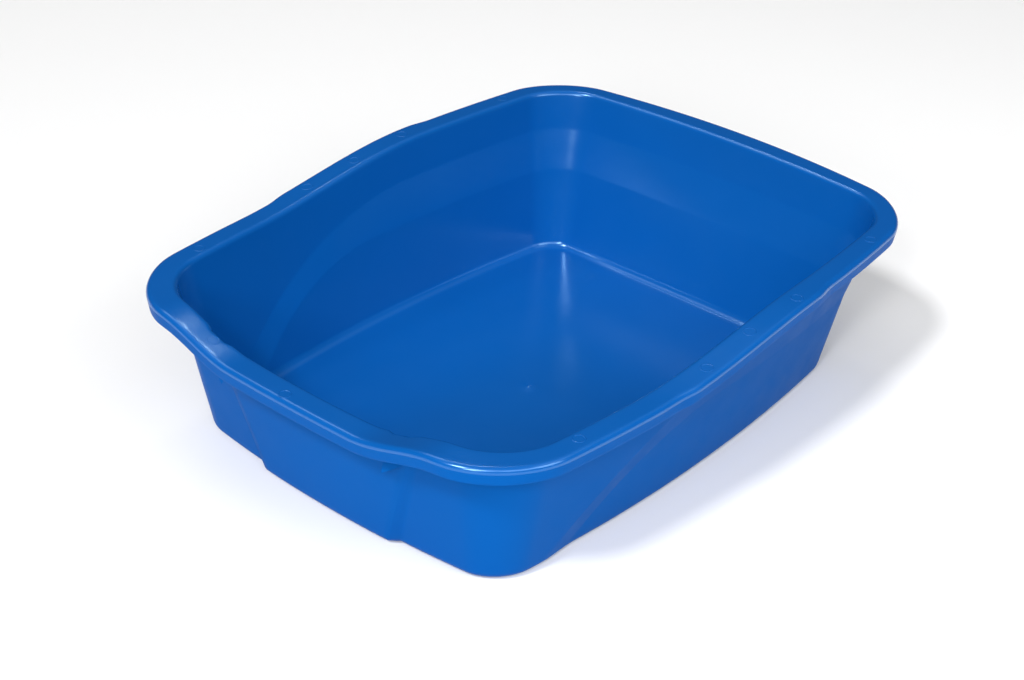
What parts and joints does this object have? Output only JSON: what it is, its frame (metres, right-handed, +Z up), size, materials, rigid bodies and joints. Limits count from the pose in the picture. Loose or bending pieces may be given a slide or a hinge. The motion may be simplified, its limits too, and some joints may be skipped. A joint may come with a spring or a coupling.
{
  "type": "litter pan",
  "caption": "Open one-piece plastic litter pan with a low entry side, sloping walls and a turned-down rim with side grips.",
  "frame": {"origin": "Centre of the bounding box in X and Y, on the ground plane that the floor of the pan stands on.", "axes": "+Z up; +Y along the length, from the low entry side to the high back; +X across the width, to the right of someone who faces the back."},
  "size_m": [0.3806, 0.4806, 0.127],
  "materials": {
    "pan_plastic": "injection-moulded blue polypropylene, glossy, with faint witness marks of the ejector pins on the rim and of the gate in the floor"
  },
  "bodies": {
    "root": {"pan": "pan_plastic"}
  },
  "joints": []
}
